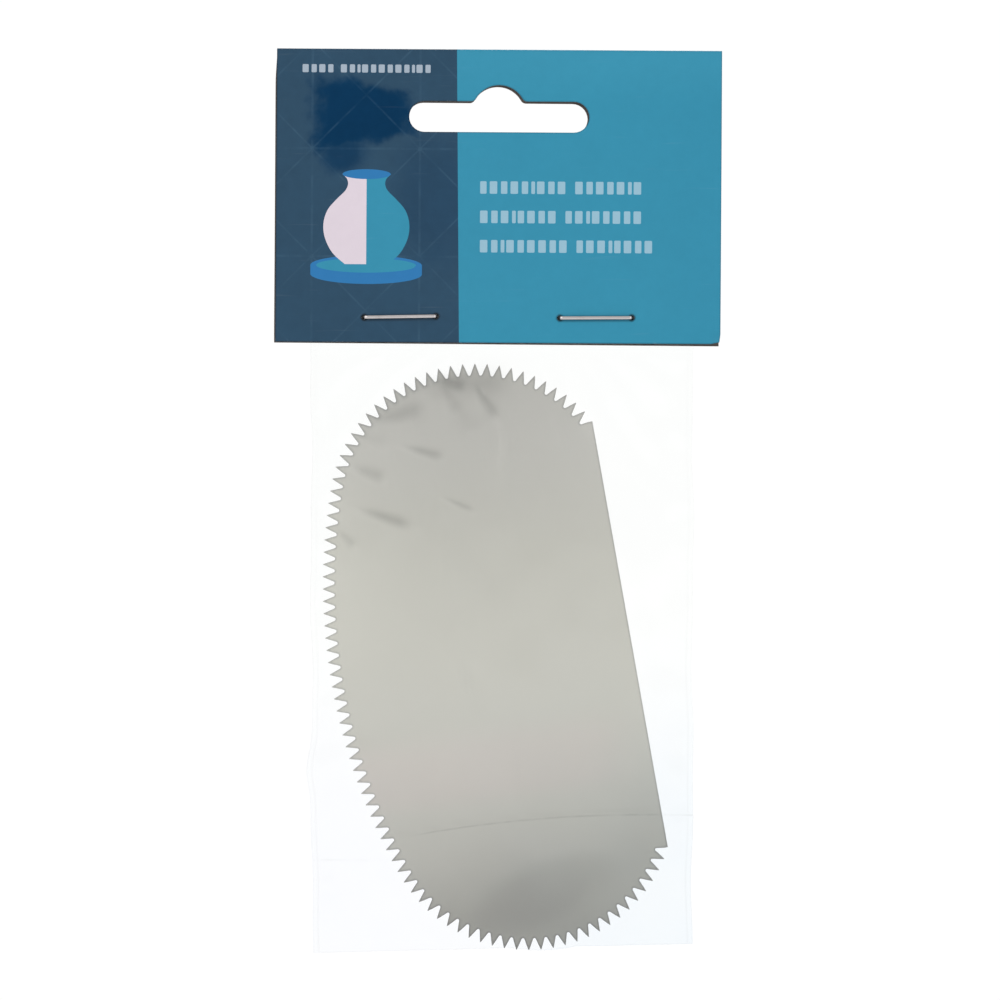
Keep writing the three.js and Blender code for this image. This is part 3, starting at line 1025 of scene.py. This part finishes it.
def wire_material(settings):
    """Bright plated wire with drawing lines and dull specks, with painted shade where it goes into the
    board.
    """
    material, tree, shader, _ = new_material("staple_wire")
    metal = use_group(tree, "Drawn Metal", drawn_metal_group, {"Across": 0.5, "Along": 16.0, "Turn": 0.0})
    dull = mixed(metal["Smudge"] * 0.35, colour(settings.wire), (0.30, 0.27, 0.26, 1))
    lined = mixed(ranged(metal["Lines"], 0.35, 0.7, 0.0, 0.22), dull, (0.36, 0.34, 0.33, 1))
    # painted shade darkens the wire where it goes into the board
    depth = abs(place(tree)[2])
    hole_shade = mixed(ranged(depth, 0.60, 0.96, 1.0, 0.0), lined, (0.05, 0.045, 0.045, 1))
    feed(shader, Base_Color=hole_shade, Metallic=1.0, Roughness=metal["Lines"] * 0.15 + 0.3,
         Normal=bump(metal["Lines"], 0.3, 0.02))
    return material


def swept_wire(name, path, depth, height, material):
    """A closed wire along a level path of (x, y) points, flat at both ends, with a rounded section."""
    path = np.asarray(path, float)
    along = np.gradient(path, axis=0)
    along /= np.linalg.norm(along, axis=1)[:, None]
    sideways = np.column_stack([-along[:, 1], along[:, 0]])
    angles = np.linspace(0, 2 * math.pi, 16, endpoint=False)
    power = 0.62  # between a rectangle and an ellipse
    across, up = (np.sign(wave) * np.abs(wave) ** power * size / 2
                  for wave, size in ((np.cos(angles), depth), (np.sin(angles), height)))
    points, faces = [], []
    for centre, side in zip(path, sideways):
        points += [(centre[0] + side[0] * a, centre[1] + side[1] * a, u) for a, u in zip(across, up)]
    count = len(angles)
    for i in range(len(path) - 1):
        for k in range(count):
            n = (k + 1) % count
            faces.append((i * count + k, i * count + n, (i + 1) * count + n, (i + 1) * count + k))
    faces.append(tuple(range(count)))
    last = (len(path) - 1) * count
    faces.append(tuple(last + k for k in reversed(range(count))))
    piece = add_mesh(name, points, faces, [material], smooth_angle=50)
    turn_outwards(piece)
    return piece


def staple_path(half, front, back, bend, clinch, bow):
    """The wire's middle line from above: one clinched end, leg, crown, leg and the other end."""
    right = []
    for share in np.linspace(0, 1, 16):
        x = share * (half - bend)
        right.append((x, front - bow * math.cos(share * math.pi / 2)))
    right += [(half - bend + bend * math.sin(a), front + bend - bend * math.cos(a))
              for a in np.radians(np.linspace(10, 90, 8))]
    right += [(half, y) for y in np.linspace(front + bend, back - bend, 5)[1:-1]]
    right += [(half - bend + bend * math.cos(a), back - bend + bend * math.sin(a))
              for a in np.radians(np.linspace(0, 80, 8))]
    for share in np.linspace(0, 1, 10):
        x = half - bend - share * clinch
        right.append((x, back + 0.22 * math.sin(share * math.pi) - 0.05 * share))
    return [(-x, y) for x, y in reversed(right[1:])] + right


WIRE_DEPTH = 0.5


class CLAYPACK_OT_staples(bpy.types.Operator):
    """Make the two clinched wire staples"""

    bl_idname = "claypack.staples"
    bl_label = "Staples"

    def execute(self, context):
        settings = context.scene.claypack_staples
        material = wire_material(settings)
        turns = (settings.left_turn, settings.right_turn)
        for name, (low, high), turn in zip(("staple_left", "staple_right"), STAPLE_BOXES, turns):
            half = (high.x - low.x - WIRE_DEPTH) / 2
            front, back = low.y + WIRE_DEPTH / 2, high.y - WIRE_DEPTH / 2
            path = staple_path(half, front, back, bend=0.42, clinch=3.6, bow=0.03)
            piece = swept_wire(name + "_wire", path, WIRE_DEPTH, high.z - low.z, material)
            middle = (low + high) / 2 * MM
            piece.data.transform(Matrix.Translation(middle) @ Matrix.Rotation(-turn, 4, "Y"))
            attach(piece, "header")
            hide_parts(name)
        return {"FINISHED"}


# ---------------------------------------------------------------- film bag


# Puckers pulled into the front film: (x, z) at each end, height, half width and how dark their painted shade
# is.
FRONT_PUCKERS = [
    ((-23.2, -58.4), (-11.8, -55.2), 0.30, 1.25, 1.5),
    ((-25.6, -65.4), (-19.0, -67.8), 0.26, 0.9, 1.2),
    ((-16.8, -61.9), (-8.8, -64.0), 0.28, 0.62, 1.7),
    ((-24.8, -72.6), (-14.2, -75.9), 0.34, 0.72, 1.9),
    ((-27.8, -76.2), (-24.2, -79.6), 0.22, 0.7, 1.0),
    ((-11.4, -50.8), (-5.0, -51.6), 0.26, 0.85, 1.9),
    ((-4.6, -50.4), (0.2, -57.6), 0.32, 0.70, 1.7),
    ((-9.8, -70.6), (-3.6, -73.2), 0.16, 0.34, 1.3),
    ((-17.0, -52.4), (3.5, -50.6), 0.10, 2.0, 1.3),
    ((-10.2, -51.0), (-6.4, -56.4), 0.14, 0.9, 0.8),
    ((-8.6, -53.0), (-3.4, -60.2), 0.12, 1.5, 0.5),
    ((-24.8, -60.2), (-18.6, -61.6), 0.12, 1.1, 0.4),
]
# Long fine creases of the folded film, as a chain of (x, z) points.
FRONT_CREASES = [
    [(-17.5, -129.9), (-7.2, -127.9), (8.0, -126.1), (26.6, -125.3)],
    [(-31.0, -133.2), (-20.0, -133.6)],
    [(31.0, -103.0), (31.3, -112.0), (32.0, -121.0), (33.0, -131.0)],
]
BACK_PUCKERS = [
    ((18.0, -52.6), (26.0, -57.5), 0.32, 0.9, 0.0),
    ((-24.0, -60.0), (-16.5, -55.0), 0.30, 0.8, 0.0),
    ((20.0, -66.0), (28.0, -72.0), 0.26, 0.9, 0.0),
    ((-27.0, -98.0), (-20.5, -106.0), 0.26, 1.0, 0.0),
]
BACK_CREASES = [[(-24.0, -131.0), (-6.0, -129.0), (15.0, -130.0)]]


def pucker_marks(x, z, puckers):
    """(height in mm, painted shade) of the short puckers."""
    height, mask = np.zeros_like(x), np.zeros_like(x)
    ragged = 1 + 0.22 * drift(x, z, 2.6, 5.5)
    for start, end, rise, width, darkness in puckers:
        away, share = to_stretch(x, z, start, end)
        swell = width * (0.55 + 0.75 * share)
        height += rise * np.exp(-(away / swell) ** 2) * np.sin(math.pi * (0.12 + 0.80 * share))
        shade = np.exp(-(away * ragged / (swell * 1.1)) ** 2) * darkness * 0.92
        mask = mask + shade * smooth_step(0, 0.5, share) * smooth_step(1.0, 0.74, share)
    return height, mask


def crease_marks(x, z, creases, width=0.3):
    mask = np.zeros_like(x)
    for chain in creases:
        for start, end in zip(chain, chain[1:]):
            away, _ = to_stretch(x, z, start, end)
            mask = np.maximum(mask, np.exp(-(away / width) ** 2))
    return mask


def bag_foot(x):
    """Height of the folded bottom: it slopes up to the right, and the blade's teeth push it down."""
    line = -148.55 + (x - 1.0) * 0.030
    middle = BLADE_LOW.x + 37.6
    teeth = BLADE_LOW.z - 0.22 + (x - middle) ** 2 / 52.0
    return np.minimum(line, teeth)


def bag_sides(z, side):
    """The bag's left or right edge at a height: it hangs slightly turned, with a wavy weld."""
    down = np.clip((MOUTH_LOW.z - z) / (MOUTH_LOW.z - POCKET_LOW.z), 0, 1)
    edge = POCKET_LOW.x if side < 0 else POCKET_HIGH.x
    lean = (1.0 if side < 0 else 0.45) * down
    wave = 0.16 * np.sin(z / 6.5 + side) + 0.10 * np.sin(z / 2.9 + 2 * side)
    bulge = -1.0 * np.exp(-((z + 117.5) / 4.0) ** 2) if side < 0 else 0.0
    return edge + lean + (wave + bulge) * smooth_step(0, 0.15, down)


def blade_room(sizes, x, z):
    """1 where the film must clear the blade at either end of its slide, fading to 0 beside it."""
    shape = ToothedOutline(sizes)
    ring = shape.placed(shape.ring(-sizes.tip_reach, 1.2))
    points = np.column_stack([np.ravel(x), np.ravel(z)])
    room = np.zeros(len(points))
    for rise in (0.0, SLIDE):
        moved = ring + np.array([0.0, rise])
        away = np.where(inside(points, moved), 0.0, to_outline(points, moved))
        room = np.maximum(room, smooth_step(4.5, 0.45, away))
    return room.reshape(np.shape(x))


def film_wall(settings, grid_x, foot_share, room, side, thin):
    """Points of one wall over a grid, and its marks. Side is -1 in front."""
    top = MOUTH_HIGH.z
    guess_z = top + (POCKET_LOW.z - top) * foot_share
    left, right = bag_sides(guess_z, -1), bag_sides(guess_z, 1)
    x = left + thin + (right - left - 2 * thin) * grid_x
    foot = bag_foot(x) + thin
    z = top + (foot - top) * foot_share
    from_side = np.minimum(x - left, right - x)
    from_foot = z - foot
    below_card = CARD_LOW.z - z
    # pressed flat in the card, opening over the blade, closed again at seams and foot
    pressed, over_blade, between = 0.075, 0.275, 0.06
    opened = smooth_step(-0.2, 2.0, below_card)
    sideways = smooth_step(settings.seam, settings.seam + 5.5, from_side)
    at_foot = smooth_step(0.0, 8.0, from_foot)
    shut = between * smooth_step(settings.seam * 0.8, settings.seam + 1.2, from_side)
    rest = shut + (over_blade - shut) * room
    seed = 3.7 if side < 0 else 11.3
    slow = 0.5 + 0.5 * drift(x, z, 26.0, seed)
    quick = drift(x, z, 8.5, seed + 2.0)
    fan = np.sin(np.arctan2(x - 2.0, below_card + 14.0) * 34.0 + seed)
    fan = fan * np.exp(-np.clip(below_card, 0, None) / 13.0) * smooth_step(0.5, 5.0, below_card)
    seam_ripple = np.sin(z / 1.9 + drift(x, z, 12.0, seed + 5.0) * 4.0)
    seam_ripple = seam_ripple * np.exp(-((from_side - settings.seam - 1.6) / 1.8) ** 2)
    puckers, creases = (FRONT_PUCKERS, FRONT_CREASES) if side < 0 else (BACK_PUCKERS, BACK_CREASES)
    pucker, pucker_shade = pucker_marks(x, z, puckers)
    crease = crease_marks(x, z, creases)
    loose = settings.puff * (0.25 + slow) * sideways + 0.10 * quick * sideways + 0.16 * fan * sideways
    loose = loose + 0.10 * seam_ripple + pucker + 0.10 * crease
    body = pressed + rest + np.clip(loose, 0.0, None) * (0.15 + 0.85 * at_foot)
    ridge = 0.07 * np.exp(-((from_side - settings.seam) / 0.22) ** 2)
    off = pressed + (body - pressed + ridge) * opened
    # the foot closes in a small round fold
    turned = np.clip(from_foot / 0.2, 0, 1)
    round_off = np.sqrt(turned * (2 - turned))
    off = np.maximum(off * round_off - thin, 0.0)
    points = np.stack([x, side * off, z], axis=-1)
    marks = {"pucker": pucker_shade,
             "seam_line": np.exp(-((from_side - settings.seam) / 0.16) ** 2) * smooth_step(0, 1, below_card),
             "side_gap": from_side, "foot_gap": from_foot, "outer": np.full_like(x, thin == 0)}
    return points, marks


def film_material(settings):
    """Clear glossy film: see-through, cooler towards the foot, with faint welds, and painted shade at its
    puckers and creases.
    """
    material, tree, shader, output = new_material("clear_film")
    position, x, y, z = place(tree)
    cloud = noise_at(position, 0.05)
    low = ranged(z, -88.0, -138.0) * ranged(cloud, 0.3, 0.7, 0.75, 1.0)
    sides = mixed(ranged(x, -10.0, 30.0), (0.9880, 0.9906, 0.9966, 1), (0.9728, 0.9842, 0.9926, 1))
    clear = result(tree, "ShaderNodeBsdfTransparent", {
        "Color": mixed(low, (0.9952, 0.9974, 0.9952, 1), sides)})
    # painted shade marks one fine crease that arches across the blade and a short one beside it, both in
    # front
    off_arch = abs(z + squared(x - 27.0) * 0.00225 + 125.25)
    arch_crease_shade = ranged(off_arch, 0.05, 0.24, 0.05, 0.0) * ranged(x, -16.0, -9.0)
    side_crease_shade = ranged(abs(z + 133.4), 0.05, 0.4, 0.012, 0.0) * ranged(x, -18.0, -22.0)
    broken = ranged(noise_at(position, 0.5, offset=(1, 6, 2)), 0.35, 0.6, 0.25, 1.0)
    crease = (arch_crease_shade + side_crease_shade) * (broken * maths("LESS_THAN", y, 0.0))
    line = attribute(tree, "seam_line") * ranged(z, -60.0, -140.0, 0.003, 0.010)
    rim = ranged(least(attribute(tree, "side_gap"), attribute(tree, "foot_gap")), 0.05, 0.30, 0.010, 0.0)
    shade = attribute(tree, "pucker") * 0.050 + crease + most(line, rim)
    # a thin haze lies over the clear film, and it darkens as painted shade at the puckers and creases, and
    # along the welds and edges
    share = maths("ADD", ranged(cloud, 0.35, 0.75, 0.0, 0.006), shade, clamp=True)
    dark = maths("DIVIDE", shade, most(share, 0.001), clamp=True)
    feed(shader, Base_Color=mixed(dark, colour(settings.haze), (0.13, 0.13, 0.12, 1)), Roughness=0.35)
    # the film's outer faces mirror the room, those turned away less, and steep folds not fully
    gloss = result(tree, "ShaderNodeBsdfGlossy", {
        "Color": (1, 1, 1, 1), "Roughness": 0.09, "Normal": bump(noise_at(position, 0.4, 2.0), 0.05, 0.05)})
    shine = result(tree, "ShaderNodeFresnel", {"IOR": 1.44})
    hidden = result(tree, "ShaderNodeNewGeometry", output="Backfacing")
    mirror = least(shine, 0.42) * (attribute(tree, "outer") * maths("MULTIPLY_ADD", hidden, -0.65, 1.0))
    mirrored = result(tree, "ShaderNodeMixShader", {0: mirror, 1: clear, 2: gloss})
    hazed = result(tree, "ShaderNodeMixShader", {0: share, 1: mirrored, 2: Value(shader.outputs[0])})
    link(hazed, output.inputs[0])
    return material


class CLAYPACK_OT_film_bag(bpy.types.Operator):
    """Make the clear bag as one lofted film with seams, puckers and a folded foot"""

    bl_idname = "claypack.film_bag"
    bl_label = "Film Bag"

    def execute(self, context):
        settings = context.scene.claypack_bag
        wide = POCKET_HIGH.x - POCKET_LOW.x
        length = MOUTH_HIGH.z - POCKET_LOW.z
        edge = np.array([0, 0.25, 0.55, 0.8, 1.0, 1.25, 1.6]) * settings.seam / wide
        # finer where the puckers are
        fine, cell = 0.62 * settings.cell, settings.cell * 1.15
        middle = (3.0 - POCKET_LOW.x) / wide
        u = np.concatenate([
            edge, np.arange(edge[-1] + fine / wide, middle, fine / wide),
            np.linspace(middle, 1 - edge[-1], int(wide * (1 - middle) / cell))[:-1], 1 - edge[::-1]])
        to_card = (MOUTH_HIGH.z - CARD_LOW.z) / length
        below_puckers = (MOUTH_HIGH.z + 80.0) / length
        v = np.concatenate([
            np.linspace(0, to_card, 14, endpoint=False),
            np.linspace(to_card, to_card + 4 / length, 12, endpoint=False),
            np.arange(to_card + 4 / length, below_puckers, fine / length),
            np.linspace(below_puckers, 1 - 2 / length, int(length * (1 - below_puckers) / cell)),
            1 - np.array([1.4, 0.9, 0.55, 0.36, 0.24, 0.16, 0.10, 0.05, 0.015, 0.0]) / length,
        ])
        grid_v, grid_u = np.meshgrid(v, u, indexing="ij")
        flat_x = POCKET_LOW.x + wide * grid_u
        room = blade_room(context.scene.claypack_blade, flat_x, MOUTH_HIGH.z - length * grid_v)
        points, faces, marks = [], [], {}
        rows, width = grid_u.shape
        starts = {}
        for thin in (0.0, settings.film):
            for side in (-1, 1):
                wall, found = film_wall(settings, grid_u, grid_v, room, side, thin)
                starts[thin > 0, side] = len(points) * rows * width
                points.append(wall.reshape(-1, 3))
                for key, value in found.items():
                    marks.setdefault(key, []).append(np.ravel(value))

        def number(inner, side, row, column):
            return starts[inner, side] + row * width + column

        for inner in (False, True):
            for side in (-1, 1):
                for r in range(rows - 1):
                    for c in range(width - 1):
                        faces.append((number(inner, side, r, c), number(inner, side, r, c + 1),
                                      number(inner, side, r + 1, c + 1), number(inner, side, r + 1, c)))
            for r in range(rows - 1):  # the welded sides
                for c in (0, width - 1):
                    faces.append((number(inner, -1, r, c), number(inner, -1, r + 1, c),
                                  number(inner, 1, r + 1, c), number(inner, 1, r, c)))
        # the rim round the mouth
        loop = [(-1, c) for c in range(width)] + [(1, c) for c in reversed(range(width))]
        for (side_a, a), (side_b, b) in zip(loop, loop[1:] + loop[:1]):
            faces.append((number(False, side_a, 0, a), number(False, side_b, 0, b),
                          number(True, side_b, 0, b), number(True, side_a, 0, a)))
        piece = add_mesh("film_bag", np.concatenate(points), faces, [film_material(settings)],
                         smooth_angle=180)
        for key, values in marks.items():
            set_attribute(piece, key, np.concatenate(values))
        turn_outwards(piece, merge=0.004)
        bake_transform(piece)
        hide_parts("bag_mouth", "bag_neck", "bag_pocket")
        return {"FINISHED"}


# ---------------------------------------------------------------- stage


def add_light(name, place_at, target, size, power, glow=(1, 1, 1)):
    data = bpy.data.lights.new(name, "AREA")
    data.shape = "RECTANGLE"
    data.size, data.size_y = size
    data.energy = power
    data.color = glow
    light = bpy.data.objects.new(name, data)
    light.location = place_at
    light.rotation_euler = (Vector(target) - Vector(place_at)).to_track_quat("-Z", "Y").to_euler()
    bpy.context.scene.collection.objects.link(light)


class CLAYPACK_OT_stage(bpy.types.Operator):
    """Set up the pale floor, the soft lights and the camera"""

    bl_idname = "claypack.stage"
    bl_label = "Stage"

    def execute(self, context):
        settings = context.scene.claypack_stage
        scene = context.scene
        floor_z = POCKET_LOW.z - settings.floor_gap
        reach = 6000.0
        corners = [(x * reach, y * reach, floor_z) for x, y in ((-1, -1), (1, -1), (1, 1), (-1, 1))]
        floor = add_mesh("stage_floor", corners, [(0, 1, 2, 3)], [])
        material, tree, shader, _ = new_material("stage_white")
        _, x, y, _ = place(tree)
        away = result(tree, "ShaderNodeVectorMath", {0: combined(tree, x, y)}, "Value", operation="LENGTH")
        near, far = 120.0, 330.0  # the floor turns from lit white into plain white between these
        # the floor glows as well as being lit: faintly near the pack, and as plain white light far off
        feed(shader, Base_Color=mixed(ranged(away, near, far), (0.86, 0.86, 0.86, 1), (0, 0, 0, 1)),
             Roughness=0.9, Emission_Strength=ranged(away, near, far, 0.22, 1.02),
             Emission_Color=(1, 1, 1, 1), Specular_IOR_Level=0.0)
        floor.data.materials.append(material)

        world = bpy.data.worlds.new("soft_room")
        scene.world = world
        world.use_nodes = True
        tree = world.node_tree
        tree.nodes.clear()
        # the eye sees plain white, and the pack is lit by and mirrors a dimmer room
        seen = result(tree, "ShaderNodeBackground", {"Color": (1, 1, 1, 1), "Strength": 1.02})
        room = result(tree, "ShaderNodeBackground", {"Color": (0.985, 0.99, 1.0, 1), "Strength": 0.60})
        to_eye = result(tree, "ShaderNodeLightPath", output="Is Camera Ray")
        both = result(tree, "ShaderNodeMixShader", {0: to_eye, 1: room, 2: seen})
        link(both, put(tree, "ShaderNodeOutputWorld").inputs[0])

        middle = (0.0, 0.0, settings.view_z * MM)
        add_light("key_soft", (-0.75, -0.85, 0.55), middle, (0.7, 0.7), 5.6, (1.0, 0.985, 0.96))
        add_light("fill_soft", (0.95, -0.75, 0.10), middle, (0.8, 1.0), 3.2, (0.96, 0.98, 1.0))
        add_light("rim_soft", (0.2, 0.9, 0.75), middle, (0.9, 0.6), 3.5)

        camera_data = bpy.data.cameras.new("camera")
        camera_data.lens = settings.lens
        camera = bpy.data.objects.new("camera", camera_data)
        scene.collection.objects.link(camera)
        distance = settings.view_width * settings.lens / camera_data.sensor_width
        camera.location = Vector((settings.view_x, -distance, settings.view_z)) * MM
        camera.rotation_euler = (math.radians(90), settings.roll, 0)
        camera_data.clip_start, camera_data.clip_end = 0.01, 50.0
        scene.camera = camera
        scene.view_settings.view_transform = "Standard"
        return {"FINISHED"}


# ---------------------------------------------------------------- panel and registration


class CLAYPACK_PT_panel(bpy.types.Panel):
    """Lists the pieces of the pack"""

    bl_label = "Clay Scraper Pack"
    bl_idname = "CLAYPACK_PT_panel"
    bl_space_type = "VIEW_3D"
    bl_region_type = "UI"
    bl_category = "Clay Scraper"

    def draw(self, context):
        layout = self.layout
        for operator in OPERATORS:
            layout.operator(operator.bl_idname)
        for name in SETTINGS:
            box = layout.box()
            box.label(text=name.replace("claypack_", "").title())
            group = getattr(context.scene, name)
            for key in group.__annotations__:
                box.prop(group, key)


SETTINGS = {
    "claypack_blade": ScraperBladeSettings,
    "claypack_card": HeaderCardSettings,
    "claypack_bag": FilmBagSettings,
    "claypack_staples": StapleSettings,
    "claypack_stage": StageSettings,
}
OPERATORS = [
    CLAYPACK_OT_stage,
    CLAYPACK_OT_header_card,
    CLAYPACK_OT_staples,
    CLAYPACK_OT_scraper_blade,
    CLAYPACK_OT_film_bag,
]


def register():
    for group in SETTINGS.values():
        bpy.utils.register_class(group)
    for operator in (*OPERATORS, CLAYPACK_PT_panel):
        bpy.utils.register_class(operator)
    for name, group in SETTINGS.items():
        setattr(bpy.types.Scene, name, bpy.props.PointerProperty(type=group))


def unregister():
    for name in SETTINGS:
        delattr(bpy.types.Scene, name)
    for operator in (CLAYPACK_PT_panel, *reversed(OPERATORS)):
        bpy.utils.unregister_class(operator)
    for group in reversed(list(SETTINGS.values())):
        bpy.utils.unregister_class(group)


def main():
    register()
    bpy.ops.claypack.stage()
    bpy.ops.claypack.header_card()
    bpy.ops.claypack.staples()
    bpy.ops.claypack.scraper_blade()
    bpy.ops.claypack.film_bag()
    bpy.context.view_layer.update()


if __name__ == "__main__":
    main()
